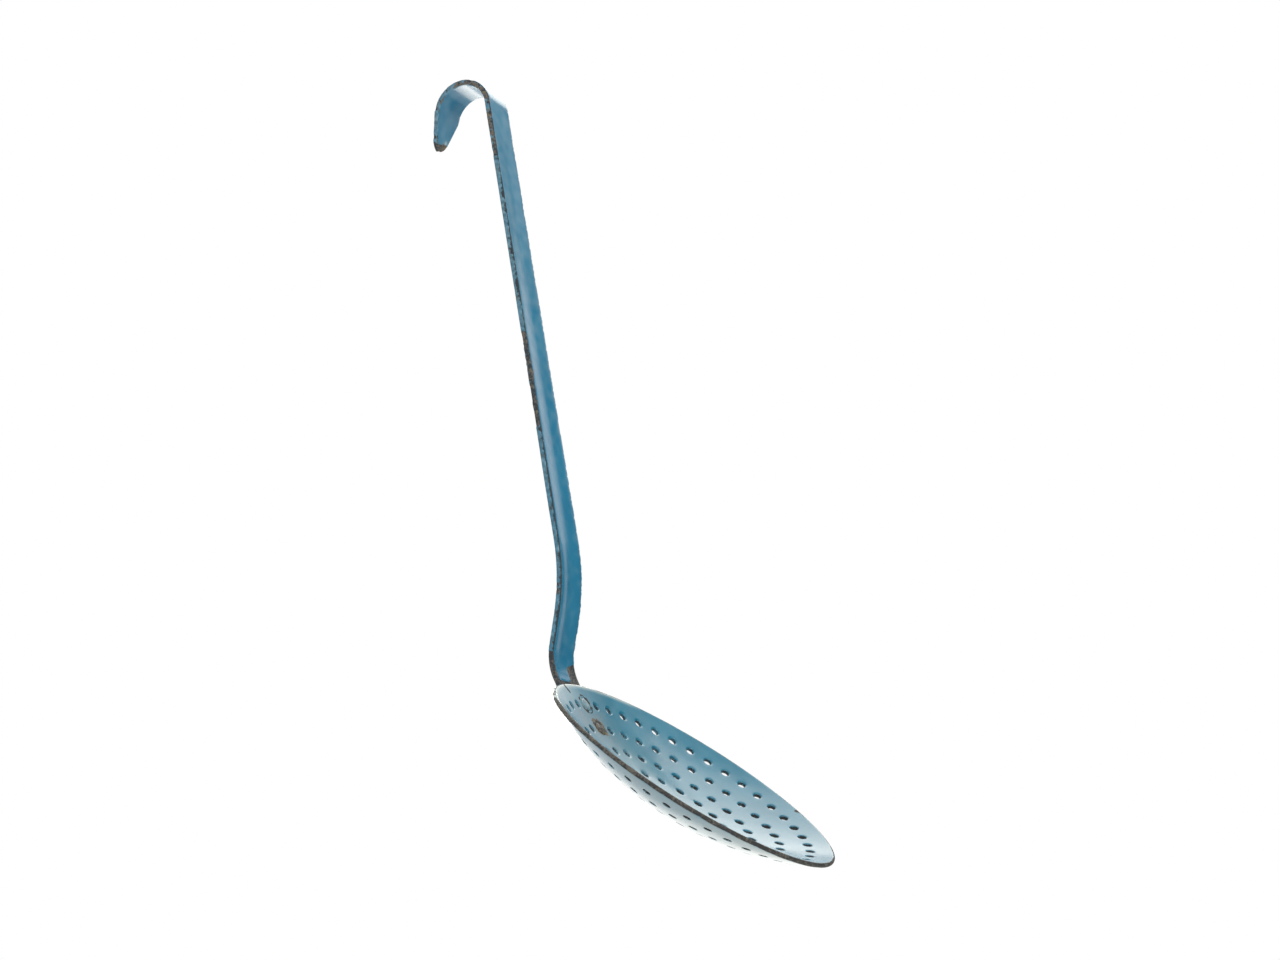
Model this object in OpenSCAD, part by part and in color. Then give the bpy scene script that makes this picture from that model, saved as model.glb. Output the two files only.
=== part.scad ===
// Handled sieve: an enamelled skimmer with a perforated dish and a hooked strip handle.
// The origin is the centre of the hook's bend, where a rail passes along Y.
// +Z runs up the straight of the handle, and the dish reaches out towards +X.
// Every wall is steel with its enamel on both sides.

/* [Dish] */
// Diameter of the rim, at the middle of the wall
dish_d = 120; // [90:1:150]
// Depth of the dish, from the rim to the middle of its floor
dish_depth = 15.7; // [8:0.1:30]
// Wall of the dish
dish_wall = 1.8; // [1:0.1:3]
// Lean of the dish's axis away from the straight of the handle
dish_tilt = 44.5; // [30:0.5:55]

/* [Holes] */
// Diameter of each hole
hole_d = 3; // [1.5:0.1:4]
// Distance from the rim in to the outermost ring of holes
ring_inset = 7.3; // [5:0.1:12]
// Distance from one ring to the next
ring_pitch = 10.4; // [8:0.1:14]
// Number of rings round the middle hole
ring_count = 5; // [3:1:6]
// Holes that each ring has more than the ring inside it
holes_per_step = 8; // [4:1:10]
// Width of the soft lip round each hole
hole_lip = 0.5; // [0.1:0.1:0.8]

/* [Handle] */
// Thickness of the strip
strip_t = 2.4; // [1:0.1:3]
// Width of the strip at the foot and the knee
foot_w = 18.5; // [14:0.5:24]
// Width of the strip where its channel has its full depth
neck_w = 17.5; // [10:0.5:24]
// Depth of the channel pressed along the strip's front
channel_depth = 0.9; // [0:0.1:2]
// Share of the straight over which the channel deepens below the hook
channel_share = 0.5; // [0.05:0.05:0.95]
// Rounding of the strip's long edges
edge_r = 0.5; // [0.1:0.1:0.9]
// Length of the straight
straight_l = 186.8; // [80:0.1:260]
// Angle of the knee
knee_angle = 19.5; // [5:0.5:30]
// Radius of the knee
knee_r = 90; // [20:1:120]
// Length of the run between the knee and the foot
shin_l = 12.1; // [5:0.5:50]
// Radius of the bend above the dish's rim
foot_r = 20; // [8:1:40]
// Length of the flat between that bend and the rim
heel_l = 4.2; // [1:0.1:12]

/* [Hook] */
// Radius of the largest rail that the hook takes
rail_r = 10.75; // [6:0.25:20]
// Angle of the hook's bend
hook_angle = 155; // [120:1:175]
// Length of the hook's leg past the bend
leg_l = 16.9; // [6:0.1:30]
// Width of the strip where the bend starts, at the top of the straight
hook_w = 17; // [10:0.5:20]
// Width of the strip at the end of the bend
leg_w = 17; // [10:0.5:20]
// Share of the leg, from its tip, over which it widens to that
leg_taper = 0.85; // [0.5:0.05:0.95]
// Width of the nose at the hook's tip
tip_w = 6; // [3:0.5:9]

/* [Tongue and rivets] */
// Land under the dish between the tongue's side and the holes beside it
tongue_land = 0.45; // [0.2:0.05:2]
// How far the tongue runs past its inner rivet
tongue_past = 6.5; // [4:0.1:7]
// Diameter of the rivets' shanks
rivet_d = 3.2; // [2:0.1:4.5]
// Diameter of the rivets' heads
head_d = 5.6; // [4.8:0.1:7]
// Height of the rivets' heads
head_h = 0.9; // [0.4:0.1:1.5]

/* [Fits] */
// Gap between the tongue and the dish
tongue_gap = 0.1; // [0.05:0.05:0.3]
// Clearance round a rivet's shank and under its heads
rivet_gap = 0.05; // [0.02:0.01:0.15]

/* [Hidden] */
$fn = 96;

enamel_blue = [0.36, 0.60, 0.71];
enamel_pale = [0.62, 0.73, 0.76];

// The dish is a slice of a hollow ball. Its rim and its tongue are placed by their
// angle at the ball's centre, counted from the dish's axis.
rim_r = dish_d / 2;
ball_r = (rim_r ^ 2 + dish_depth ^ 2) / (2 * dish_depth);
ball_in = ball_r - dish_wall / 2;
ball_out = ball_r + dish_wall / 2;
rim_angle = asin(rim_r / ball_r);
ball_fn = 240;
drill_l = 4 * dish_wall;
hole_fn = 32;
cone_h = ball_out + 1;

function ring_radius(i) = rim_r - ring_inset - i * ring_pitch;
function ring_holes(i) = holes_per_step * (ring_count - i);
function ball_angle(r) = asin(r / ball_r);

// The rivets take the place of the holes where the two outer rings cross the handle's line.
rivet_count = 2;
outer_rivet_angle = ball_angle(ring_radius(0));
inner_rivet_angle = ball_angle(ring_radius(1));
tongue_angle = ball_angle(ring_radius(1) - tongue_past);

// The tongue passes between the holes on each side of the inner rivet.
tongue_w = 2 * (ring_radius(1) * sin(360 / ring_holes(1)) - hole_d / 2 - tongue_land);
tongue_neck_angle = ball_angle(ring_radius(0) + hole_d / 2);

// The strip's middle line is a chain of bends and straights from the hook's tip to the
// tongue's end. A heading of 0 runs down the handle, and a positive turn is to the front.
// The bend keeps a thin skin inside, which the round cut of the rail then takes off.
rail_skin = 0.1;
hook_r = rail_r + strip_t / 2 - rail_skin;
tongue_r = ball_out + tongue_gap + strip_t / 2;
heel_heading = 90 - dish_tilt - rim_angle;
foot_angle = knee_angle + heel_heading;

function arc_l(r, angle) = r * angle * PI / 180;

// Each piece of the chain: length, turn, steps
chain = [
    [leg_l, 0, 6],
    [arc_l(hook_r, hook_angle), -hook_angle, 22],
    [straight_l, 0, 14],
    [arc_l(knee_r, knee_angle), -knee_angle, 6],
    [shin_l, 0, 4],
    [arc_l(foot_r, foot_angle), foot_angle, 8],
    [heel_l, 0, 2],
    [arc_l(tongue_r, rim_angle - tongue_angle), rim_angle - tongue_angle, 8]
];
HOOK = 1;
STRAIGHT = 2;
KNEE = 3;
SHIN = 4;
TONGUE = 7;

function along(heading) = [sin(heading), -cos(heading)];
function front(heading) = [cos(heading), sin(heading)];

// Length of the chord over an arc of a given length and turn
function chord_l(l, turn) = turn == 0 ? l : l * sin(turn / 2) / (turn * PI / 360);

function heading_at(i) = i == 0 ? hook_angle : heading_at(i - 1) + chain[i - 1][1];
function place_at(i, share) =
    share == 0 && i == 0 ? hook_r * front(hook_angle) - leg_l * along(hook_angle)
    : share == 0 ? place_at(i - 1, 1)
    : place_at(i, 0) + chord_l(chain[i][0] * share, chain[i][1] * share)
        * along(heading_at(i) + chain[i][1] * share / 2);

// Width of the strip, and depth of its channel, by the piece of the chain. The channel
// fades out over a share of the bend above the rim.
width_table = [
    [0, tip_w], [leg_taper, leg_w], [HOOK, leg_w], [STRAIGHT, hook_w],
    [STRAIGHT + channel_share, neck_w], [KNEE, foot_w], [TONGUE, foot_w],
    [TONGUE + (rim_angle - tongue_neck_angle) / (rim_angle - tongue_angle), tongue_w],
    [TONGUE + 1, tongue_w]
];
channel_end = 0.8;
channel_table = [
    [STRAIGHT, 0], [STRAIGHT + channel_share, channel_depth],
    [SHIN + 1, channel_depth], [SHIN + 1 + channel_end, 0]
];

// The bow that fits the tongue to the round underside of the dish
tongue_sag = (tongue_w / 2) ^ 2 / (2 * tongue_r);
bow_table = [[SHIN + 1, 0], [TONGUE, tongue_sag]];

// Shares of the way along piece i, with round ends at the hook's tip and the tongue's end
nose_steps = 7;
nose_start = 12;
function nose_angle(k) = nose_start + (90 - nose_start) * k / nose_steps;
function nose_shares(l, r) = [for (k = [0 : nose_steps]) r * (1 - cos(nose_angle(k))) / l];
tip_shares = nose_shares(leg_l, tip_w / 2);
tongue_shares = nose_shares(chain[TONGUE][0], tongue_w / 2);
function plain_shares(i, low, high) =
    let (n = chain[i][2]) [for (k = [0 : n - 1]) low + (high - low) * (k + 1) / n];
function shares(i) =
    i == 0 ? concat(tip_shares, plain_shares(0, tip_shares[nose_steps], 1))
    : i == TONGUE ? concat(
        plain_shares(TONGUE, 0, 1 - tongue_shares[nose_steps]),
        [for (k = [nose_steps - 1 : -1 : 0]) 1 - tongue_shares[k]])
    : plain_shares(i, 0, 1);
function nose_width(s, r) = s >= r ? 1 : sqrt(1 - (1 - s / r) ^ 2);

stations = [for (i = [0 : TONGUE]) for (share = shares(i)) [i, share]];

// A section: a strip with round edges, bent along its width to the channel and the bow.
// The channel is one wave across the width, and the bow is a shallow arc.
side_steps = 10;
corner_steps = 3;
least_flat = 0.05;
function flat_corner(a, c, start) = [
    for (k = [0 : corner_steps]) let (w = start - 90 * k / corner_steps)
        [a + edge_r * cos(w), c + edge_r * sin(w)]
];
function flat_section(half) =
    let (a = max(half - edge_r, least_flat), c = strip_t / 2 - edge_r)
    concat(
        [for (k = [1 : side_steps - 1]) [a * (2 * k / side_steps - 1), strip_t / 2]],
        flat_corner(a, c, 90), flat_corner(a, -c, 0),
        [for (k = [1 : side_steps - 1]) [a * (1 - 2 * k / side_steps), -strip_t / 2]],
        flat_corner(-a, -c, -90), flat_corner(-a, c, -180));
section_points = len(flat_section(foot_w / 2));

function bent(v, q, half, channel, bow) =
    let (
        turn = 180 * v / half,
        lean = atan(channel * PI / (2 * half) * sin(turn) + 2 * bow * v / half ^ 2),
        sag = channel * (1 + cos(turn)) / 2 + bow * (1 - (v / half) ^ 2))
    [q * cos(lean) - sag, v - q * sin(lean)];

function ring_at(i, share) =
    let (
        key = i + share,
        full = lookup(key, width_table) / 2,
        half = i == 0 ? full * nose_width(share * leg_l, tip_w / 2)
            : i == TONGUE ? full * nose_width((1 - share) * chain[TONGUE][0], tongue_w / 2)
            : full,
        channel = lookup(key, channel_table),
        bow = lookup(key, bow_table) * (half / full) ^ 2,
        heading = heading_at(i) + chain[i][1] * share,
        place = place_at(i, share))
    [for (flat = flat_section(half))
        let (b = bent(flat[0], flat[1], half, channel, bow), p = place + b[0] * front(heading))
        [p[0], b[1], p[1]]];

function average(points) = [for (p = points) 1] * points / len(points);

module strip() {
    sections = [for (s = stations) ring_at(s[0], s[1])];
    n = section_points;
    last = len(sections) - 1;
    tip = n * (last + 1);
    tail = tip + 1;
    points = concat([for (s = sections) each s], [average(sections[0]), average(sections[last])]);
    sides = [
        for (r = [0 : last - 1]) for (k = [0 : n - 1]) let (m = (k + 1) % n, a = r * n)
            each [[a + k, a + n + m, a + n + k], [a + k, a + m, a + n + m]]
    ];
    ends = [
        for (k = [0 : n - 1]) let (m = (k + 1) % n, a = last * n)
            each [[tip, m, k], [tail, a + k, a + m]]
    ];
    polyhedron(points, concat(sides, ends), convexity = 6);
}

// Where the ball's centre lies, from the end of the heel
rim_place = place_at(TONGUE, 0);
ball_centre = rim_place + tongue_r * front(heel_heading);

module at_ball() {
    translate([ball_centre[0], 0, ball_centre[1]]) rotate([0, dish_tilt, 0]) children();
}

// From the ball's centre, out along the wall at an angle from the axis and a turn round it.
// A turn of 180 is the handle's side.
module out_at(angle, turn) {
    rotate([0, 0, turn]) rotate([0, 180 - angle, 0]) children();
}

module ball_shell() {
    difference() {
        sphere(ball_out, $fn = ball_fn);
        sphere(ball_in, $fn = ball_fn);
    }
}

module hole() {
    translate([0, 0, ball_r - drill_l / 2]) cylinder(d = hole_d, h = drill_l, $fn = hole_fn);
    translate([0, 0, ball_in - hole_lip])
        cylinder(r1 = hole_d / 2 + 2 * hole_lip, r2 = hole_d / 2, h = 2 * hole_lip, $fn = hole_fn);
}

module rivet_hole() {
    translate([0, 0, ball_r - drill_l / 2])
        cylinder(d = rivet_d + 2 * rivet_gap, h = drill_l + 2 * strip_t, $fn = hole_fn);
}

module holes() {
    out_at(0, 0) hole();
    for (i = [0 : ring_count - 1], k = [0 : ring_holes(i) - 1])
        if (k > 0 || i >= rivet_count)
            out_at(ball_angle(ring_radius(i)), 180 + k * 360 / ring_holes(i)) hole();
}

module rivet_holes() {
    for (angle = [outer_rivet_angle, inner_rivet_angle]) out_at(angle, 180) rivet_hole();
}

// One rivet: a low round head inside the dish, a shank, and a flat tail under the tongue
module rivet(angle) {
    low = ball_in - rivet_gap;
    tail = tongue_r + strip_t / 2 + rivet_gap;
    ball = (head_h ^ 2 + (head_d / 2) ^ 2) / (2 * head_h);
    out_at(angle, 180) {
        translate([0, 0, low - head_h / 2]) cylinder(d = rivet_d, h = tail - low + head_h, $fn = 48);
        intersection() {
            translate([0, 0, low - head_h + ball]) sphere(ball, $fn = 64);
            translate([0, 0, low - head_h]) cylinder(d = head_d, h = head_h, $fn = 48);
        }
        translate([0, 0, tail]) cylinder(d1 = head_d, d2 = rivet_d, h = head_h, $fn = 48);
    }
}

module dish() {
    color(enamel_pale) at_ball() {
        difference() {
            intersection() {
                ball_shell();
                translate([0, 0, -cone_h])
                    cylinder(r1 = cone_h * tan(rim_angle), r2 = 0, h = cone_h, $fn = ball_fn);
            }
            holes();
            rivet_holes();
        }
        translate([0, 0, -ball_r * cos(rim_angle)])
            rotate_extrude($fn = ball_fn) translate([rim_r, 0]) circle(d = dish_wall, $fn = 24);
    }
}

module handle() {
    color(enamel_blue) difference() {
        strip();
        rotate([90, 0, 0]) cylinder(r = rail_r, h = 2 * foot_w, center = true);
        at_ball() rivet_holes();
    }
}

module outer_rivet() {
    color(enamel_pale) at_ball() rivet(outer_rivet_angle);
}

module inner_rivet() {
    color(enamel_pale) at_ball() rivet(inner_rivet_angle);
}

dish();
handle();
outer_rivet();
inner_rivet();
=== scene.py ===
import math
import random

import bpy
import numpy as np
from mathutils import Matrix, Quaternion, Vector, geometry, noise


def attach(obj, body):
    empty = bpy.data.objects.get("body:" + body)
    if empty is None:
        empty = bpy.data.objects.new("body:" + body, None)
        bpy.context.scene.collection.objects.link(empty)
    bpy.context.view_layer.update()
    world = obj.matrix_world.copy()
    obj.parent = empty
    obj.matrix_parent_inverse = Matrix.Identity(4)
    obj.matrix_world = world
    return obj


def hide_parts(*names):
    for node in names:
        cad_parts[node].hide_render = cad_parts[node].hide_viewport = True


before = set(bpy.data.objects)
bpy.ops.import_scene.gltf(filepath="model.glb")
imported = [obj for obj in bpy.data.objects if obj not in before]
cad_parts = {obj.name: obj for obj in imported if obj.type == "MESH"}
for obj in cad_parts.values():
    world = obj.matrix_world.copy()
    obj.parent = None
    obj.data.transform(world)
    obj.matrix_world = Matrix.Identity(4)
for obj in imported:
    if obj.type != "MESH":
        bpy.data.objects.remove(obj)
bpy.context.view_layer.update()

# Enamelled steel skimmer hanging by its hook. Sizes are mm and angles degrees, up to makePiece.
mm = 0.001
print("frame loaded:", sorted(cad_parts))


def toLinear(hexColour):
    parts = [int(hexColour[k:k + 2], 16) / 255 for k in (1, 3, 5)]
    return [p / 12.92 if p <= 0.04045 else ((p + 0.055) / 1.055) ** 2.4 for p in parts] + [1.0]


def addNode(tree, kind, settings=None, links=None):
    node = tree.nodes.new(kind)
    for name, value in (settings or {}).items():
        if isinstance(name, str) and hasattr(node, name):
            setattr(node, name, value)
        else:
            node.inputs[name].default_value = value
    for name, source in (links or {}).items():
        tree.links.new(source, node.inputs[name])
    return node


def makePiece(name, points, faces, fields, material):
    mesh = bpy.data.meshes.new(name)
    mesh.from_pydata((np.asarray(points) * mm).tolist(), [], faces)
    mesh.polygons.foreach_set("use_smooth", [True] * len(mesh.polygons))
    for key, values in fields.items():
        field = mesh.attributes.new(key, "FLOAT", "POINT")
        field.data.foreach_set("value", np.asarray(values, dtype=np.float32))
    mesh.materials.append(material)
    piece = bpy.data.objects.new(name, mesh)
    bpy.context.scene.collection.objects.link(piece)
    return piece


# Small helpers for the wear that is worked out point by point
def softStep(low, high, x):
    t = np.clip((x - low) / (high - low), 0, 1)
    return t * t * (3 - 2 * t)


def noiseAt(points, size, seed):
    shift = Vector((seed * 17.3, seed * 5.1, seed * 29.7))
    return np.array([noise.noise(Vector(p) / size + shift) for p in points])


def segmentGap(points, start, end):
    start, run = np.array(start), np.array(end) - np.array(start)
    share = np.clip(((points - start) @ run) / (run @ run), 0, 1)
    return np.linalg.norm(points - start - share[:, None] * run, axis=1)


# The camera stands where the photograph was taken from, low and a little to the right.
photoCamera = {
    "placeMm": (340.1, -711.0, -370.2),
    "turnDegrees": (104.717, 9.427, 24.871),
    "lensMm": 57.75,
    "sensorMm": 36.0,
}


def makeCamera(look):
    data = bpy.data.cameras.new("photoCamera")
    data.lens = look["lensMm"]
    data.sensor_width = look["sensorMm"]
    data.sensor_fit = "HORIZONTAL"
    camera = bpy.data.objects.new("photoCamera", data)
    camera.location = Vector(look["placeMm"]) * mm
    camera.rotation_euler = [math.radians(a) for a in look["turnDegrees"]]
    bpy.context.scene.collection.objects.link(camera)
    bpy.context.scene.camera = camera


makeCamera(photoCamera)
bpy.context.scene.view_settings.view_transform = "Standard"
print("camera placed")


studio = {
    "floorHeightMm": -900,
    "floorSizeMm": 6000,
    "floorColour": "#f2f2f0",
    "floorRoughness": 0.9,
    "skyColour": "#ffffff",
    "skyStrength": 0.6,
    "lampColour": "#fff7ec",
    "cardRoughness": 0.95,
}

# Soft boxes: place, aim and size in mm, roll in degrees, power in watts
softBoxes = {
    "topPanel": {"place": (155, 3640, 4470), "aim": (40, 0, -290), "size": 5100, "roll": -30, "power": 179},
    "keyPanel": {"place": (1300, -900, 300), "aim": (20, 0, -160), "size": 900, "roll": 0, "power": 11},
    "hookPanel": {"place": (-170, 322, -150), "aim": (0, 0, 8), "size": 200, "roll": 0, "power": 0.5},
    "leftPanel": {"place": (-500, 1220, -345), "aim": (60, -20, -290), "size": 680, "roll": 0, "power": 1.3},
}

# Cards behind the handle, seen only in the gloss, keep its face deep in colour.
darkCards = {
    "rearCard": {"place": (347, 372, -230), "aim": (12, 0, -230), "width": 590, "height": 340,
                 "colour": "#161718"},
    "sideCard": {"place": (1213, 882, 62), "aim": (12, 0, -150), "width": 1150, "height": 975,
                 "colour": "#161718"},
    "upperCard": {"place": (513, 1414, 645), "aim": (12, 0, -40), "width": 500, "height": 300,
                  "colour": "#6c6d6e"},
}


def turnTo(place, aim, roll=0):
    turn = (Vector(aim) - Vector(place)).to_track_quat("-Z", "Y")
    return (turn @ Quaternion((0, 0, 1), math.radians(roll))).to_euler()


def plainMatt(name, colour, roughness):
    material = bpy.data.materials.new(name)
    material.use_nodes = True
    shader = material.node_tree.nodes["Principled BSDF"]
    shader.inputs["Base Color"].default_value = toLinear(colour)
    shader.inputs["Roughness"].default_value = roughness
    return material


def makeStudio(look, boxes, cards):
    bpy.ops.mesh.primitive_plane_add(size=look["floorSizeMm"] * mm,
                                     location=(0, 0, look["floorHeightMm"] * mm))
    floor = bpy.context.active_object
    floor.name = "floor"
    floor.data.materials.append(plainMatt("matt white paper", look["floorColour"], look["floorRoughness"]))

    world = bpy.data.worlds.new("white studio")
    world.use_nodes = True
    bpy.context.scene.world = world
    tree = world.node_tree
    tree.nodes.clear()
    path = addNode(tree, "ShaderNodeLightPath")
    cameraOrGlossy = addNode(tree, "ShaderNodeMath", {"operation": "MAXIMUM"},
                             {0: path.outputs["Is Camera Ray"], 1: path.outputs["Is Glossy Ray"]})
    seen = addNode(tree, "ShaderNodeMath", {"operation": "MAXIMUM"},
                   {0: cameraOrGlossy.outputs[0], 1: path.outputs["Is Transmission Ray"]})
    sky = addNode(tree, "ShaderNodeBackground",
                  {"Color": toLinear(look["skyColour"]), "Strength": look["skyStrength"]})
    white = addNode(tree, "ShaderNodeBackground", {"Color": toLinear("#ffffff"), "Strength": 1.0})
    both = addNode(tree, "ShaderNodeMixShader", {},
                   {0: seen.outputs[0], 1: sky.outputs[0], 2: white.outputs[0]})
    addNode(tree, "ShaderNodeOutputWorld", {}, {"Surface": both.outputs[0]})

    for name, card in cards.items():
        bpy.ops.mesh.primitive_plane_add(size=mm, location=Vector(card["place"]) * mm,
                                         rotation=turnTo(card["place"], card["aim"]))
        flag = bpy.context.active_object
        flag.name = name
        flag.scale = (card["width"], card["height"], 1)
        flag.visible_camera = False
        flag.visible_diffuse = False
        flag.visible_shadow = False
        flag.data.materials.append(plainMatt(name, card["colour"], look["cardRoughness"]))

    for name, box in boxes.items():
        lamp = bpy.data.lights.new(name, "AREA")
        lamp.size = box["size"] * mm
        lamp.energy = box["power"]
        lamp.color = toLinear(look["lampColour"])[:3]
        lampObject = bpy.data.objects.new(name, lamp)
        lampObject.location = Vector(box["place"]) * mm
        lampObject.rotation_euler = turnTo(box["place"], box["aim"], box["roll"])
        lampObject.visible_camera = False
        bpy.context.scene.collection.objects.link(lampObject)


makeStudio(studio, softBoxes, darkCards)
print("studio lit")


# Vitreous enamel is glass powder fused onto pressed steel in a kiln. The eye sees a soft gloss
# over one even colour, a faint orange peel, and dark scale or brown rust where it has chipped.
# The fields bare, rust, pale and stain of a mesh say where the steel shows, how rusty it is, where the
# colour is paler and where it has gone grey. On the dish, pale also carries painted reflection and painted
# highlights, and bare with the darkest rust paints the shade in the holes.
enamelLook = {
    "colour": "#22748f",
    "cloudColour": "#2a7c97",
    # The pale colour is also the painted reflection and highlights inside the dish.
    "paleColour": "#bccdce",
    "stainColour": "#5f6562",
    "scaleColour": "#25282a",
    "brownColour": "#5b5a55",
    "rustColour": "#766b4e",
    "gloss": 0.22,
    "steelRoughness": 0.7,
    "ior": 1.5,
    "cloudMm": 14,
    "peelMm": 1.6,
    "peelDepthMm": 0.002,
    "flakeMm": 0.55,
    "spotMm": 0.9,
    "spotContrast": 2.2,
    "grainMm": 0.25,
    "grainDepthMm": 0.05,
    "chipBorder": (0.46, 0.54),
    "brownShare": 0.45,
}


def firedEnamel(name, look):
    material = bpy.data.materials.new(name)
    material.use_nodes = True
    tree = material.node_tree
    shader = tree.nodes["Principled BSDF"]
    place = addNode(tree, "ShaderNodeTexCoord").outputs["Object"]
    fields = {key: addNode(tree, "ShaderNodeAttribute", {"attribute_name": key}).outputs["Fac"]
              for key in ("bare", "rust", "pale", "stain")}
    # Noise for each kind of detail, with its size in mm and how fine it goes
    details = {"cloud": (look["cloudMm"], 2), "peel": (look["peelMm"], 1), "flake": (look["flakeMm"], 3),
               "spot": (look["spotMm"], 4), "grain": (look["grainMm"], 2)}
    noises = {key: addNode(tree, "ShaderNodeTexNoise", {"Scale": 1 / (size * mm), "Detail": detail},
                           {"Vector": place}).outputs["Fac"]
              for key, (size, detail) in details.items()}

    # The steel shows where bare is high (in the dish's holes that dark steel is painted shade), and the
    # chips' borders wander by the size of a flake.
    flakes = addNode(tree, "ShaderNodeMath", {"operation": "MULTIPLY_ADD", 1: 0.5, 2: -0.25},
                     {0: noises["flake"]})
    chipped = addNode(tree, "ShaderNodeMath", {"operation": "ADD"},
                      {0: fields["bare"], 1: flakes.outputs[0]})
    borderLow, borderHigh = look["chipBorder"]
    steel = addNode(tree, "ShaderNodeMapRange", {"From Min": borderLow, "From Max": borderHigh},
                    {"Value": chipped.outputs[0]}).outputs["Result"]

    # The glass is two near blues in clouds, paler where pale is high (inside the dish that is painted
    # reflection and highlight) and greyer where it is stained.
    clouds = addNode(tree, "ShaderNodeMapRange", {"From Min": 0.35, "From Max": 0.65},
                     {"Value": noises["cloud"]})
    glass = addNode(tree, "ShaderNodeMix", {"data_type": "RGBA", 6: toLinear(look["colour"]),
                                            7: toLinear(look["cloudColour"])},
                    {0: clouds.outputs["Result"]})
    paleAndPaintedLight = addNode(tree, "ShaderNodeMix", {"data_type": "RGBA", 7: toLinear(look["paleColour"])},
                    {0: fields["pale"], 6: glass.outputs[2]})
    stained = addNode(tree, "ShaderNodeMix", {"data_type": "RGBA", 7: toLinear(look["stainColour"])},
                      {0: fields["stain"], 6: paleAndPaintedLight.outputs[2]})

    # Bare steel goes from dark scale through brown to yellow rust, with spots of each in the others.
    spots = addNode(tree, "ShaderNodeMath",
                    {"operation": "MULTIPLY_ADD", 1: look["spotContrast"], 2: -look["spotContrast"] / 2},
                    {0: noises["spot"]})
    rusting = addNode(tree, "ShaderNodeMath", {"operation": "ADD"},
                      {0: fields["rust"], 1: spots.outputs[0]})
    brown = addNode(tree, "ShaderNodeValToRGB", {}, {"Fac": rusting.outputs[0]})
    steps = brown.color_ramp.elements
    steps[0].color = toLinear(look["scaleColour"])
    steps[1].color = toLinear(look["rustColour"])
    steps.new(look["brownShare"]).color = toLinear(look["brownColour"])
    colour = addNode(tree, "ShaderNodeMix", {"data_type": "RGBA"},
                     {0: steel, 6: stained.outputs[2], 7: brown.outputs["Color"]})
    roughness = addNode(tree, "ShaderNodeMapRange",
                        {"To Min": look["gloss"], "To Max": look["steelRoughness"]}, {"Value": steel})

    peel = addNode(tree, "ShaderNodeMath", {"operation": "MULTIPLY", 1: look["peelDepthMm"]},
                   {0: noises["peel"]})
    grain = addNode(tree, "ShaderNodeMath", {"operation": "MULTIPLY", 1: look["grainDepthMm"]},
                    {0: noises["grain"]})
    height = addNode(tree, "ShaderNodeMix", {}, {0: steel, 2: peel.outputs[0], 3: grain.outputs[0]})
    bump = addNode(tree, "ShaderNodeBump", {"Distance": mm}, {"Height": height.outputs[0]})

    shader.inputs["IOR"].default_value = look["ior"]
    tree.links.new(colour.outputs[2], shader.inputs["Base Color"])
    tree.links.new(roughness.outputs["Result"], shader.inputs["Roughness"])
    tree.links.new(bump.outputs["Normal"], shader.inputs["Normal"])
    return material


# The dish is a slice of a hollow ball, full of drilled holes whose edges the enamel rounds.
dishBowl = {
    "rimRadius": 60.0,
    "depth": 15.7,
    "wall": 1.8,
    "tilt": 44.5,
    "holeRadius": 1.5,
    "ringInset": 7.3,
    "ringPitch": 10.4,
    "ringCount": 5,
    "holesPerStep": 8,
    "rivetHoleRadius": 1.65,
    "lipDepth": 0.16,
    "lipWidth": 1.0,
    "lipRound": 0.5,
    "holePoints": 24,
    "holeRows": (0, 0.08, 0.2, 0.4, 0.7, 1.1),
    "rimPoints": 360,
    "rimRows": (0, 0.7, 1.6),
    "beadSteps": 12,
    "spacing": 1.9,
    "fineSpacing": 0.45,
    "fineEdge": -38,
    "fineHalfWidth": 13,
    "waveDepth": 0.1,
    "waveSize": 17.0,
    "ridgeHeight": 0.12,
    "ridgeRadius": 3.55,
    "ridgeWidth": 0.45,
}

# The strip is pressed into a channel, hooked at its top, and runs under the dish as a tongue.
handleStrip = {
    "thickness": 2.4,
    "edgeRound": 0.5,
    "railRadius": 10.75,
    "railSkin": 0.1,
    "hookAngle": 155,
    "legLength": 16.9,
    "straightLength": 186.8,
    "kneeAngle": 19.5,
    "kneeRadius": 90,
    "shinLength": 12.1,
    "footRadius": 20,
    "heelLength": 4.2,
    "tonguePast": 6.5,
    "tongueLand": 0.45,
    "tongueGap": 0.1,
    "tipWidth": 6,
    "legTaper": 0.85,
    "hookWidth": 17,
    "neckWidth": 17.5,
    "footWidth": 18.5,
    "channelDepth": 0.9,
    "channelShare": 0.5,
    "spacing": 0.6,
    "faceSteps": 22,
    "cornerSteps": 4,
    "noseSteps": 12,
    "waveDepth": 0.06,
    "waveSize": 12.0,
    "chipDepth": 0.2,
}


def ballRadiusOf(bowl):
    return (bowl["rimRadius"] ** 2 + bowl["depth"] ** 2) / (2 * bowl["depth"])


ballRadius = ballRadiusOf(dishBowl)
rimAngle = math.degrees(math.asin(dishBowl["rimRadius"] / ballRadius))
rimArc = math.radians(rimAngle) * ballRadius
ringRadii = [dishBowl["rimRadius"] - dishBowl["ringInset"] - k * dishBowl["ringPitch"]
             for k in range(dishBowl["ringCount"])]
rivetArcs = [ballRadius * math.asin(r / ballRadius) for r in ringRadii[:2]]


def ballAngle(radius):
    return math.degrees(math.asin(radius / ballRadius))


def along(heading):
    a = np.radians(heading)
    return np.array([np.sin(a), -np.cos(a)])


def front(heading):
    a = np.radians(heading)
    return np.array([np.cos(a), np.sin(a)])


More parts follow.
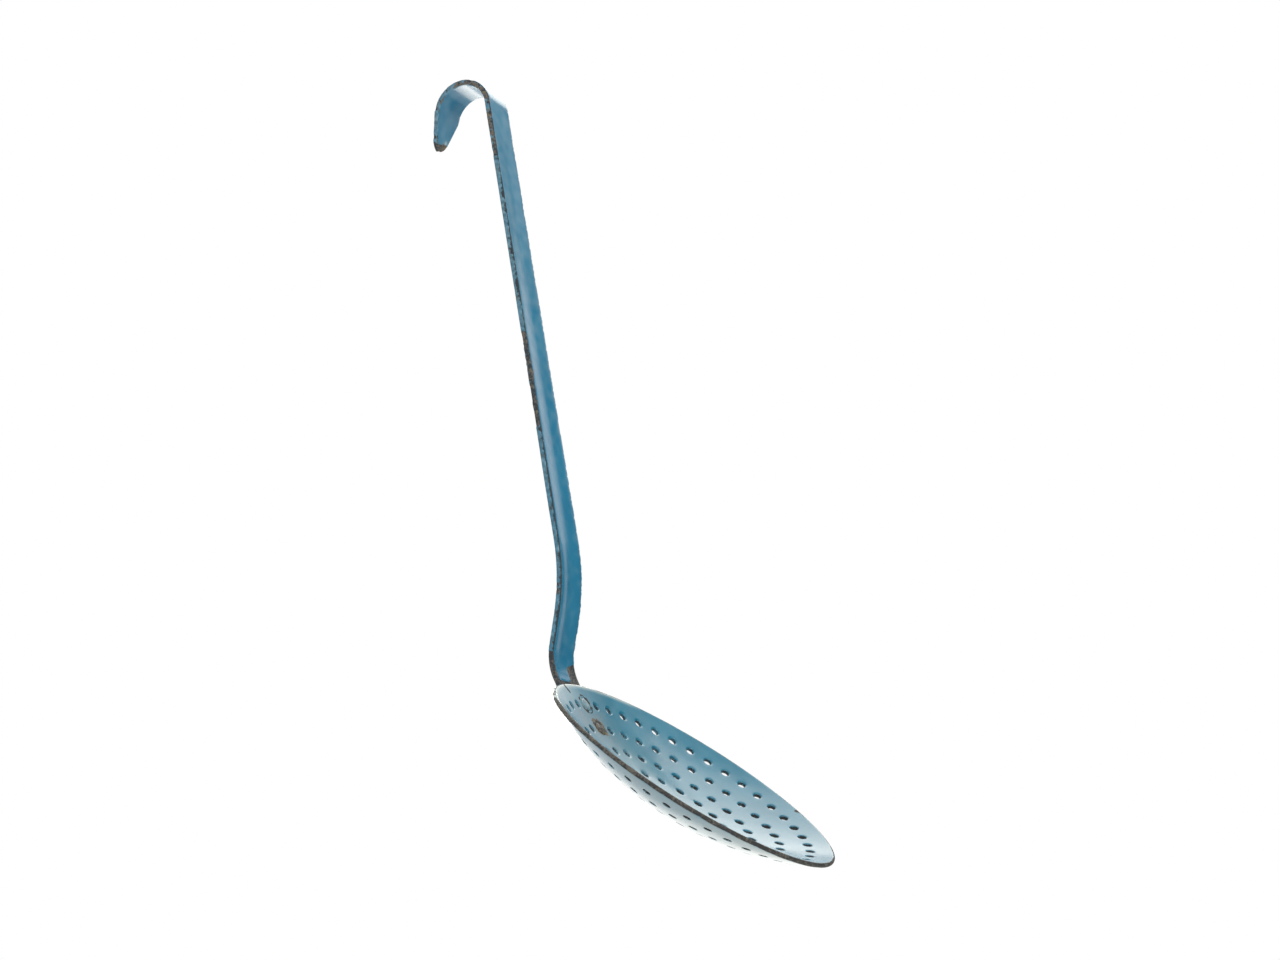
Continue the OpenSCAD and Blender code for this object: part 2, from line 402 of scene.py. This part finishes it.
# The strip's middle line as a chain of (length, turn), as it lies from the hook's tip
hookRadius = handleStrip["railRadius"] + handleStrip["thickness"] / 2 - handleStrip["railSkin"]
tongueRadius = (ballRadius + dishBowl["wall"] / 2 + handleStrip["tongueGap"]
                + handleStrip["thickness"] / 2)
heelHeading = 90 - dishBowl["tilt"] - rimAngle
footAngle = handleStrip["kneeAngle"] + heelHeading
tongueTurn = rimAngle - ballAngle(ringRadii[1] - handleStrip["tonguePast"])
chain = [
    (handleStrip["legLength"], 0),
    (math.radians(handleStrip["hookAngle"]) * hookRadius, -handleStrip["hookAngle"]),
    (handleStrip["straightLength"], 0),
    (math.radians(handleStrip["kneeAngle"]) * handleStrip["kneeRadius"], -handleStrip["kneeAngle"]),
    (handleStrip["shinLength"], 0),
    (math.radians(footAngle) * handleStrip["footRadius"], footAngle),
    (handleStrip["heelLength"], 0),
    (math.radians(tongueTurn) * tongueRadius, tongueTurn),
]
lastRun = len(chain) - 1


def chordOf(length, turn):
    return length if turn == 0 else length * math.sin(math.radians(turn / 2)) / math.radians(turn / 2)


chainStarts = []
place = (hookRadius * front(handleStrip["hookAngle"])
         - handleStrip["legLength"] * along(handleStrip["hookAngle"]))
heading = handleStrip["hookAngle"]
travelled = 0
for length, turn in chain:
    chainStarts.append((place, heading, travelled))
    place = place + chordOf(length, turn) * along(heading + turn / 2)
    heading += turn
    travelled += length

ballCentre = chainStarts[lastRun][0] + tongueRadius * front(heelHeading)
bowlUp = np.array([math.sin(math.radians(dishBowl["tilt"])), 0, math.cos(math.radians(dishBowl["tilt"]))])
bowlOut = np.array([bowlUp[2], 0, -bowlUp[0]])
bowlSide = np.array([0, 1.0, 0])
print("dish centred at", [round(float(c), 2) for c in ballCentre])


def onBall(flat, radius):
    # A point of the flat layout is an arc's length from the middle of the floor.
    reach = np.maximum(np.linalg.norm(flat, axis=1), 1e-9)
    angle = reach / ballRadius
    way = (flat[:, :1] * bowlOut + flat[:, 1:] * bowlSide) / reach[:, None]
    out = way * np.sin(angle)[:, None] - bowlUp * np.cos(angle)[:, None]
    centre = np.array([ballCentre[0], 0, ballCentre[1]])
    return centre + out * np.asarray(radius).reshape(-1, 1), out


def dishHoles(bowl):
    chance = random.Random(7)
    holes = [{"place": (0, 0), "radius": bowl["holeRadius"], "lip": bowl["lipDepth"]}]
    for ring, radius in enumerate(ringRadii):
        count = bowl["holesPerStep"] * (bowl["ringCount"] - ring)
        arc = ballRadius * math.asin(radius / ballRadius)
        for k in range(count):
            turn = math.pi + 2 * math.pi * k / count
            spot = (arc * math.cos(turn), arc * math.sin(turn))
            if k == 0 and ring < len(rivetArcs):
                holes.append({"place": spot, "radius": bowl["rivetHoleRadius"], "lip": 0})
                continue
            holes.append({"place": spot, "radius": bowl["holeRadius"] * chance.uniform(0.96, 1.04),
                          "lip": bowl["lipDepth"] * chance.uniform(0.7, 1.3)})
    return holes


# Wear on the dish, with the painted reflection and highlights inside it, in the flat layout: x runs away
# from the handle and -y is the near side. Turns go round the rim from the handle, with minus on the near
# side.
dishWearAndPaintedLight = {
    "rimBrown": -0.3,
    "bareLip": 0.15,
    "mottledTurns": (-42, 8),
    # Painted highlight: a pale line close to the rim's edge, over these turns by the handle.
    "rimHighlightTurns": (-42, 34),
    # Painted reflection: a paler band inside the near rim, over these turns, this far from the rim and this
    # strong.
    "nearRimReflectionTurns": (-110, -4),
    "nearRimReflectionReach": 12,
    "nearRimReflectionShare": 0.28,
    # Painted highlight: a paler patch inside the dish, towards the handle.
    "insideHighlightPlace": (-28, 7),
    "insideHighlightRadius": 13,
    "insideHighlightShare": 0.24,
    # The outside is paler all over, and paler still towards the far end.
    "paleOutside": 0.22,
    "paleFarEnd": 0.35,
    "stainPlace": (-46, -3),
    "stainRadius": 15,
    "stainShare": 0.3,
    "haloRadius": 5.2,
    "haloShare": 0.45,
    "rustMark": (-43.9, 0.7),
    "rustMarkRadius": 4.4,
    "ringInner": 2.95,
    "ringOuter": 4.0,
    "crack": ((-61.4, -13.4), (-59.0, -10.6)),
    "crackHalfWidth": 0.7,
    "nick": (25.7, 57.0),
    "nickRadius": 1.1,
}


# Rust this low leaves only dark scale, with no spot of brown in it.
scaleOnly = -0.6


def between(span, soft, x):
    return softStep(span[0] - soft, span[0] + soft, x) * (1 - softStep(span[1] - soft, span[1] + soft, x))


def dishFields(flat, side, beadRise, holeGap, wear):
    inside = side < 0.5
    turn = np.degrees(np.arctan2(flat[:, 1], -flat[:, 0]))
    rimGap = rimArc - np.linalg.norm(flat, axis=1)
    spots = np.column_stack([flat, side * 3])
    coarse = noiseAt(spots, 5.0, 1)
    fine = noiseAt(spots, 1.6, 2)
    mottled = between(wear["mottledTurns"], 6, turn)
    rim = np.minimum(0.5 + 0.8 * (wear["rimBrown"] + 0.3 * coarse - rimGap + beadRise), 0.9)
    rim = rim + mottled * (0.9 * fine - 0.42)
    outEnd = softStep(-30, 25, flat[:, 0])
    # Painted shade: the hole walls and a thin edge round them are made bare and given the darkest scale
    # below, standing in for the shade inside the holes; towards the far end that bare edge is a little
    # wider.
    holeShadeAndWear = 0.5 + 0.6 * (0.03 + wear["bareLip"] * outEnd + 0.15 * coarse - holeGap)

    # The marks of the two rivets, the crack by the handle and the nick in the far rim
    fromMark = np.linalg.norm(flat - np.array(wear["rustMark"]), axis=1)
    mark = 0.5 + 0.3 * (wear["rustMarkRadius"] + 1.6 * fine + 0.8 * coarse - fromMark)
    fromRivet = flat + np.array((rivetArcs[0], 0))
    reach = np.maximum(np.linalg.norm(fromRivet, axis=1), 0.1)
    farSide = fromRivet[:, 1] / reach
    outerLine = 0.5 + 1.5 * (0.4 + 0.9 * fine + 0.2 * farSide - np.abs(reach - wear["ringOuter"]))
    innerLine = 0.5 + 1.5 * (0.22 + 0.8 * fine - np.abs(reach - wear["ringInner"]))
    crack = 0.5 + 1.2 * (wear["crackHalfWidth"] - segmentGap(flat, *wear["crack"]))
    nick = 0.5 + 0.8 * (wear["nickRadius"] - np.linalg.norm(flat - np.array(wear["nick"]), axis=1))
    marks = np.where(inside, np.maximum.reduce([mark, outerLine, innerLine, crack, nick]), 0)
    bare = np.clip(np.maximum.reduce([rim, holeShadeAndWear, marks]), 0, 1)

    rust = np.where(inside & (mark > 0.3), 0.2 + 0.9 * coarse + 1.7 * fine,
                    0.3 - 0.28 * outEnd + 0.3 * coarse)
    # By the holes the darkest scale is painted shade; on the rivet's ring lines and the crack it is the
    # marks' own dark line.
    holeShadeAndLines = (holeGap < 0.3) | (inside & (np.maximum.reduce([outerLine, innerLine, crack]) > 0.4))
    rust = np.where(holeShadeAndLines, scaleOnly, rust)
    # Painted reflection: the inside is paler in a band along the near rim.
    nearRimReflection = between(wear["nearRimReflectionTurns"], 8, turn) * softStep(wear["nearRimReflectionReach"], 2, rimGap) * inside
    # Painted highlight: a paler patch inside the dish, towards the handle.
    fromInsideHighlight = np.linalg.norm(flat - np.array(wear["insideHighlightPlace"]), axis=1) / wear["insideHighlightRadius"]
    # The outside is paler all over, and paler still towards the far end.
    paleOutside = wear["paleOutside"] + wear["paleFarEnd"] * softStep(25, 55, flat[:, 0])
    # Painted highlight: a pale line close to the rim's edge by the handle, on both skins.
    pale = (np.where(inside, wear["insideHighlightShare"] * np.exp(-fromInsideHighlight ** 2), paleOutside)
            + wear["nearRimReflectionShare"] * nearRimReflection
            + 0.85 * between(wear["rimHighlightTurns"], 6, turn) * softStep(1.1, 0, rimGap) + 0.06 * coarse)
    fromStain = np.linalg.norm(flat - np.array(wear["stainPlace"]), axis=1) / wear["stainRadius"]
    halo = wear["haloShare"] * np.exp(-(fromMark / wear["haloRadius"]) ** 2)
    stain = wear["stainShare"] * (1 + coarse) * np.exp(-fromStain ** 2) * (1 - nearRimReflection)
    stain = np.where(inside, stain + halo, 0)
    return {"bare": bare, "rust": np.clip(rust, scaleOnly, 1), "pale": np.clip(pale, 0, 1),
            "stain": np.clip(stain, 0, 1)}


def hexGrid(reach, spacing):
    rowStep = spacing * math.sqrt(0.75)
    rows = int(reach / rowStep) + 1
    across = int(reach / spacing) + 1
    return np.array([((k + 0.5 * (row % 2)) * spacing, row * rowStep)
                     for row in range(-rows, rows + 1) for k in range(-across, across + 1)])


def roundOf(count):
    turns = np.arange(count) * 2 * math.pi / count
    return np.column_stack([np.cos(turns), np.sin(turns)])


def dishLayout(bowl, centres, radii):
    # Rings of points round each hole, rows by the rim, and a grid that is finer by the rivets
    circle = roundOf(bowl["holePoints"])
    layout = [centre + circle * (radius + gap)
              for centre, radius in zip(centres, radii) for gap in bowl["holeRows"]]
    layout += [roundOf(bowl["rimPoints"]) * (rimArc - gap) for gap in bowl["rimRows"]]
    coarse = hexGrid(rimArc, bowl["spacing"])
    fine = hexGrid(rimArc, bowl["fineSpacing"])
    for points, room, byRivets in ((coarse, 0.8, False), (fine, 0.25, True)):
        there = (points[:, 0] < bowl["fineEdge"]) & (np.abs(points[:, 1]) < bowl["fineHalfWidth"])
        gap = np.linalg.norm(points[:, None] - centres[None], axis=2) - radii - bowl["holeRows"][-1]
        inRim = np.linalg.norm(points, axis=1) < rimArc - bowl["rimRows"][-1] - room
        free = (gap.min(axis=1) > room) & inRim
        layout.append(points[free & (there == byRivets)])
    made = geometry.delaunay_2d_cdt([Vector(p) for p in np.concatenate(layout)], [], [], 0, 1e-5)
    flat = np.array([tuple(v) for v in made[0]])
    triangles = np.array([f for f in made[2] if len(f) == 3])
    middles = flat[triangles].mean(axis=1)
    fromHoles = np.linalg.norm(middles[:, None] - centres[None], axis=2)
    filled = (fromHoles < radii * math.cos(math.pi / bowl["holePoints"])).any(axis=1)
    return flat, triangles[~filled]


def makeDish(bowl, material):
    holes = dishHoles(bowl)
    centres = np.array([h["place"] for h in holes])
    radii = np.array([h["radius"] for h in holes])
    flat, triangles = dishLayout(bowl, centres, radii)
    n = len(flat)
    gaps = np.linalg.norm(flat[:, None] - centres[None], axis=2) - radii
    nearest = gaps.argmin(axis=1)
    gap = np.maximum(gaps[np.arange(n), nearest], 0)
    lip = np.array([h["lip"] for h in holes])[nearest]
    corner = np.maximum(bowl["lipRound"] - gap, 0)
    rounding = bowl["lipRound"] - np.sqrt(bowl["lipRound"] ** 2 - corner ** 2)
    rounding = np.where(lip > 0, rounding, 0)
    dimple = lip * (1 - softStep(0, bowl["lipWidth"], gap)) ** 1.5
    calm = softStep(0, 6, rimArc - np.linalg.norm(flat, axis=1))
    wave = bowl["waveDepth"] * noiseAt(np.column_stack([flat, np.zeros(n)]), bowl["waveSize"], 3) * calm
    fromRivet = np.linalg.norm(flat + np.array((rivetArcs[0], 0)), axis=1)
    ridge = bowl["ridgeHeight"] * np.exp(-((fromRivet - bowl["ridgeRadius"]) / bowl["ridgeWidth"]) ** 2)
    half = bowl["wall"] / 2
    inner, _ = onBall(flat, ballRadius - half + rounding + dimple + wave - ridge)
    outer, _ = onBall(flat, ballRadius + half - rounding + 0.3 * dimple + wave)
    points = [inner, outer]
    flats = [flat, flat]
    sides = [np.zeros(n), np.ones(n)]
    rises = [np.zeros(n), np.zeros(n)]
    holeGaps = [gap, gap]
    faces = triangles.tolist() + (triangles[:, ::-1] + n).tolist()
    ringPoints = bowl["holePoints"] * len(bowl["holeRows"])
    for first in range(0, len(holes) * ringPoints, ringPoints):
        for k in range(bowl["holePoints"]):
            a = first + k
            b = first + (k + 1) % bowl["holePoints"]
            faces.append((a, b, b + n, a + n))

    # The rim's bead closes the two skins with a half round.
    start = len(holes) * ringPoints
    count = bowl["rimPoints"]
    rimFlat = flat[start:start + count]
    middle, out = onBall(rimFlat, np.full(count, ballRadius))
    edge = np.cross(np.cross(out, bowlUp), out)
    edge = edge / np.linalg.norm(edge, axis=1)[:, None]
    edge = edge * np.sign((edge * (middle - middle.mean(axis=0))).sum(axis=1))[:, None]
    rows = [np.arange(start, start + count)]
    total = 2 * n
    for step in range(1, bowl["beadSteps"]):
        a = math.pi * step / bowl["beadSteps"]
        points.append(middle + half * (math.sin(a) * edge - math.cos(a) * out))
        flats.append(rimFlat)
        sides.append(np.full(count, step / bowl["beadSteps"]))
        rises.append(np.full(count, half * math.sin(a)))
        holeGaps.append(np.full(count, bowl["ringInset"]))
        rows.append(np.arange(total, total + count))
        total += count
    rows.append(np.arange(start + n, start + n + count))
    for low, high in zip(rows, rows[1:]):
        for k in range(count):
            m = (k + 1) % count
            faces.append((int(low[m]), int(low[k]), int(high[k]), int(high[m])))

    fields = dishFields(np.concatenate(flats), np.concatenate(sides), np.concatenate(rises),
                        np.concatenate(holeGaps), dishWearAndPaintedLight)
    return makePiece("pressedDish", np.concatenate(points), faces, fields, material)


# Wear on the strip, by its length from the hook's tip; the near edge is at -Y
stripWear = {
    "tipRust": 3.0,
    "tipSpot": (4.4, 2.4),
    "tipSpotRadius": 0.8,
    # Lengths of the edges that are bare: from, to, how much
    "bareEdges": ((18, 30, 0.3), (30, 74, 0.4), (74, 140, 0.08), (151, 191, 0.5), (252, 257, 0.35),
                  (281, 303, 0.5)),
    "edgeChips": 0.2,
    "edgeStain": 0.42,
    "cornerLine": 0.4,
    "longLine": (196, 278),
    "farPatchStart": 283,
    "farPatchWidth": 6.3,
    "nearPatchStart": 280,
    "nearPatchWidth": 0.7,
    "footBand": 292,
    "footEnd": 301,
}


def stripFields(run, across, outward, half, wear):
    near = across < 0
    edgeGap = half - np.abs(across)
    halfThick = handleStrip["thickness"] / 2
    spots = np.column_stack([run, across, outward * 2])
    blotch = noiseAt(spots, 4.0, 6)
    grit = noiseAt(spots, 1.4, 10)
    lines = np.column_stack([run, np.where(near, 0.0, 40.0), np.zeros(len(run))])
    chips = np.maximum(noiseAt(lines, 3.2, 4), 0)
    flecks = noiseAt(lines, 1.1, 5)

    # A dark line follows the front corners, unbroken over one long stretch of the near one.
    long = between(wear["longLine"], 6, run) * near
    reach = wear["cornerLine"] + 0.08 * long + 0.3 * chips + (0.45 - 0.3 * long) * flecks
    frontCorner = 0.5 + 1.2 * (reach - np.hypot(edgeGap, halfThick - outward))
    backCorner = 0.5 + 0.7 * (0.1 + 0.5 * chips - np.hypot(edgeGap, halfThick + outward))
    bareness = sum(much * between((start, end), 2.5, run) for start, end, much in wear["bareEdges"])
    edge = (wear["edgeChips"] + bareness * np.where(near, 1, 0.7) + 0.34 * blotch + 0.3 * grit
            - 0.5 * np.maximum(edgeGap - 0.3, 0))
    tip = 0.5 + 0.25 * (wear["tipRust"] - run) + 0.3 * blotch

    # Patches by the dish's rim: one on the far side, one on the near side and a band at the foot
    past = run - wear["farPatchStart"]
    farReach = wear["farPatchWidth"] * softStep(0, 3, past) + 0.25 * (past - 3)
    farPatch = np.where(past > 0, 0.5 + 0.35 * (farReach - (half - across)) + 0.3 * blotch, 0)
    past = run - wear["nearPatchStart"]
    nearReach = wear["nearPatchWidth"] + 0.08 * past
    nearPatch = np.where(past > 0, 0.5 + 0.5 * (nearReach - (half + across)) + 0.2 * blotch, 0)
    band = 0.5 + 0.6 * (run - wear["footBand"]) + 0.3 * blotch
    under = softStep(wear["footEnd"] + 4, wear["footEnd"] - 2, run)
    foot = np.maximum.reduce([farPatch, nearPatch, band]) * under
    bare = np.clip(np.maximum.reduce([frontCorner, backCorner, edge, tip, foot]), 0, 1)

    rust = 0.12 + 0.35 * blotch + 0.2 * grit + 0.3 * softStep(80, 60, run)
    rust = np.where(frontCorner > np.maximum(edge, foot), scaleOnly, rust)
    onEdge = softStep(0.6, 0.2, edgeGap)
    fromSpot = np.hypot(run - wear["tipSpot"][0], across - wear["tipSpot"][1]) / wear["tipSpotRadius"]
    pale = (0.1 + 0.1 * blotch - 0.1 * softStep(80, 240, run) + onEdge * (0.06 - 0.3 * grit)
            + 0.8 * np.exp(-fromSpot ** 2))
    return {"bare": bare, "rust": np.clip(rust, scaleOnly, 1), "pale": np.clip(pale, 0, 1),
            "stain": np.clip(onEdge * (wear["edgeStain"] + 0.9 * grit + 0.4 * blotch), 0, 1)}


def makeStrip(strip, material):
    rimNeck = ballAngle(ringRadii[0] + dishBowl["holeRadius"])
    holesThere = dishBowl["holesPerStep"] * (dishBowl["ringCount"] - 1)
    tongueWidth = 2 * (ringRadii[1] * math.sin(2 * math.pi / holesThere)
                       - dishBowl["holeRadius"] - strip["tongueLand"])
    tongueSag = (tongueWidth / 2) ** 2 / (2 * tongueRadius)
    fullChannel = 2 + strip["channelShare"]
    neck = lastRun + (rimAngle - rimNeck) / tongueTurn
    widthKeys = (0, strip["legTaper"], 2, fullChannel, 3, lastRun, neck, lastRun + 1)
    widths = (strip["tipWidth"], strip["hookWidth"], strip["hookWidth"], strip["neckWidth"],
              strip["footWidth"], strip["footWidth"], tongueWidth, tongueWidth)
    channelKeys = (2, fullChannel, 5, 5.8)
    channels = (0, strip["channelDepth"], strip["channelDepth"], 0)
    bowKeys = (5, lastRun)
    bows = (0, tongueSag)

    def noseShares(length, radius):
        angles = np.linspace(math.radians(6), math.pi / 2, strip["noseSteps"])
        return radius * (1 - np.cos(angles)) / length

    stations = []
    for i, (length, turn) in enumerate(chain):
        shares = np.linspace(0, 1, max(int(length / strip["spacing"]), 6) + 1)[1:]
        if i == 0:
            nose = noseShares(length, strip["tipWidth"] / 2)
            shares = np.concatenate([nose, shares[shares > nose[-1] + 0.01]])
        if i == lastRun:
            nose = 1 - noseShares(length, tongueWidth / 2)[::-1]
            shares = np.concatenate([shares[shares < nose[0] - 0.01], nose])
        stations += [(i, s) for s in shares]

    def outline(half):
        r, t = strip["edgeRound"], strip["thickness"] / 2
        a, c = max(half - r, 0.05), t - r
        flat = np.linspace(-a, a, strip["faceSteps"] + 1)[1:-1]
        arc = np.radians(np.linspace(90, 0, strip["cornerSteps"] + 1))
        rows = [(v, t) for v in flat]
        rows += [(a + r * math.cos(w), c + r * math.sin(w)) for w in arc]
        rows += [(a + r * math.cos(w - math.pi / 2), -c + r * math.sin(w - math.pi / 2)) for w in arc]
        rows += [(-v, -t) for v in flat]
        rows += [(-a + r * math.cos(w - math.pi), -c + r * math.sin(w - math.pi)) for w in arc]
        rows += [(-a + r * math.cos(w + math.pi / 2), c + r * math.sin(w + math.pi / 2)) for w in arc]
        return np.array(rows)

    points, runs, acrosses, outwards, halves = [], [], [], [], []
    for i, share in stations:
        length, turn = chain[i]
        begin, startHeading, travelled = chainStarts[i]
        full = np.interp(i + share, widthKeys, widths) / 2
        gone = share * length if i == 0 else (1 - share) * length if i == lastRun else math.inf
        nose = strip["tipWidth"] / 2 if i == 0 else tongueWidth / 2
        half = full * (1 if gone >= nose else math.sqrt(1 - (1 - gone / nose) ** 2))
        channel = np.interp(i + share, channelKeys, channels)
        bow = np.interp(i + share, bowKeys, bows) * (half / full) ** 2
        nowHeading = startHeading + turn * share
        centre = begin + chordOf(length * share, turn * share) * along(startHeading + turn * share / 2)
        rows = outline(half)
        v, q = rows[:, 0], rows[:, 1]
        phase = math.pi * v / half
        lean = np.arctan(channel * math.pi / (2 * half) * np.sin(phase) + 2 * bow * v / half ** 2)
        off = -channel * (1 + np.cos(phase)) / 2 - bow * (1 - (v / half) ** 2) + q * np.cos(lean)
        flatPlace = centre + off[:, None] * front(nowHeading)
        points.append(np.column_stack([flatPlace[:, 0], v - q * np.sin(lean), flatPlace[:, 1]]))
        runs.append(np.full(len(v), travelled + share * length))
        acrosses.append(v)
        outwards.append(q)
        halves.append(np.full(len(v), half))
    n = len(points[0])
    last = (len(points) - 1) * n
    faces = []
    for r in range(0, last, n):
        for k in range(n):
            m = (k + 1) % n
            faces.append((r + k, r + n + k, r + n + m, r + m))
    faces.append(tuple(range(n)))
    faces.append(tuple(range(last, last + n))[::-1])
    points = np.concatenate(points)
    run, across, outward, half = (np.concatenate(x) for x in (runs, acrosses, outwards, halves))
    fields = stripFields(run, across, outward, half, stripWear)

    # The enamel's waves and the chips' pits are pressed into the mesh along its own normals.
    piece = makePiece("channelStrip", points, faces, fields, material)
    normals = np.zeros(len(points) * 3)
    piece.data.vertices.foreach_get("normal", normals)
    normals = normals.reshape(-1, 3)
    swell = noiseAt(np.column_stack([run, across * 1.6, outward]), strip["waveSize"], 8)
    hollow = strip["waveDepth"] * (1 - swell) + strip["chipDepth"] * softStep(0.45, 0.65, fields["bare"])
    points = points - normals * hollow[:, None]
    radial = np.hypot(points[:, 0], points[:, 2])
    push = np.maximum(strip["railRadius"] / radial, 1)
    points[:, 0] *= push
    points[:, 2] *= push
    piece.data.vertices.foreach_set("co", (points * mm).ravel())
    piece.data.update()
    return piece


# Each rivet is lathed: (radius, height) from the middle of its head down to its tail.
rivetLook = {
    "shank": 1.6,
    "seatGap": 0.03,
    "points": 48,
    "outer": ((0, 0.38), (0.8, 0.37), (1.5, 0.33), (2.1, 0.25), (2.5, 0.14), (2.8, 0.02)),
    "inner": ((0, 0.62), (0.8, 0.6), (1.5, 0.52), (2.1, 0.37), (2.5, 0.2), (2.8, 0.02)),
    "tail": ((2.7, 0.0), (2.75, 0.25), (2.3, 0.65), (1.5, 0.85), (0.7, 0.9), (0, 0.9)),
    "outerWear": {"bare": 0.27, "rust": 0.2, "pale": 0.3},
    "innerWear": {"bare": 0.72, "rust": 0.3, "pale": 0.3},
}


def makeRivet(name, arc, head, wear, look, material):
    inside = ballRadius - dishBowl["wall"] / 2 - look["seatGap"]
    under = tongueRadius + handleStrip["thickness"] / 2 + look["seatGap"]
    rows = [(r, inside - h) for r, h in head]
    rows += [(look["shank"], inside), (look["shank"], under)]
    rows += [(r, under + h) for r, h in look["tail"]]
    rows = [(max(r, 0.02), h) for r, h in rows]
    count = look["points"]
    circle = roundOf(count)
    spot, out = onBall(np.array([[-arc, 0.0]]), [0.0])
    aside = np.cross(bowlSide, out[0])
    points = np.concatenate([spot[0] + h * out[0] + r * (circle[:, :1] * aside + circle[:, 1:] * bowlSide)
                             for r, h in rows])
    isTail = np.repeat([h > ballRadius for _, h in rows], count)
    grain = noiseAt(points, 1.3, 9)
    fields = {
        "bare": np.clip(np.where(isTail, 0.3, wear["bare"]) + 0.45 * grain, 0, 1),
        "rust": np.clip(wear["rust"] + 1.3 * noiseAt(points, 1.7, 11), scaleOnly, 1),
        "pale": np.full(len(points), wear["pale"]),
        "stain": np.full(len(points), 0.25),
    }
    faces = []
    for k in range(0, (len(rows) - 1) * count, count):
        for j in range(count):
            m = (j + 1) % count
            faces.append((k + j, k + m, k + m + count, k + j + count))
    faces.append(tuple(range(count))[::-1])
    faces.append(tuple(range((len(rows) - 1) * count, len(rows) * count)))
    return makePiece(name, points, faces, fields, material)


# The handle's batch is bluer, and so are the stains and the dark lines along its edges.
stripLook = {
    **enamelLook,
    "colour": "#27779b",
    "cloudColour": "#2d7da0",
    "stainColour": "#3f626e",
    "scaleColour": "#232e35",
    "brownColour": "#625e5a",
}
dishEnamel = firedEnamel("kiln-fired blue enamel of the dish", enamelLook)
stripEnamel = firedEnamel("kiln-fired blue enamel of the handle", stripLook)
rivetEnamel = firedEnamel("kiln-fired blue enamel of the rivets", enamelLook)
for node, material in (("dish", dishEnamel), ("handle", stripEnamel),
                       ("outer_rivet", rivetEnamel), ("inner_rivet", rivetEnamel)):
    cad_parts[node].data.materials.clear()
    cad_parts[node].data.materials.append(material)

pieces = {
    "dish": (makeDish(dishBowl, dishEnamel), "dish_enamel"),
    "handle": (makeStrip(handleStrip, stripEnamel), "handle_enamel"),
    "outer_rivet": (makeRivet("outerRivet", rivetArcs[0], rivetLook["outer"], rivetLook["outerWear"],
                              rivetLook, rivetEnamel), "rivet_enamel"),
    "inner_rivet": (makeRivet("innerRivet", rivetArcs[1], rivetLook["inner"], rivetLook["innerWear"],
                              rivetLook, rivetEnamel), "rivet_enamel"),
}
for node, (piece, slot) in pieces.items():
    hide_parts(node)
    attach(piece, "root")
    print(piece.name, len(piece.data.vertices), "points,", len(piece.data.polygons), "faces")
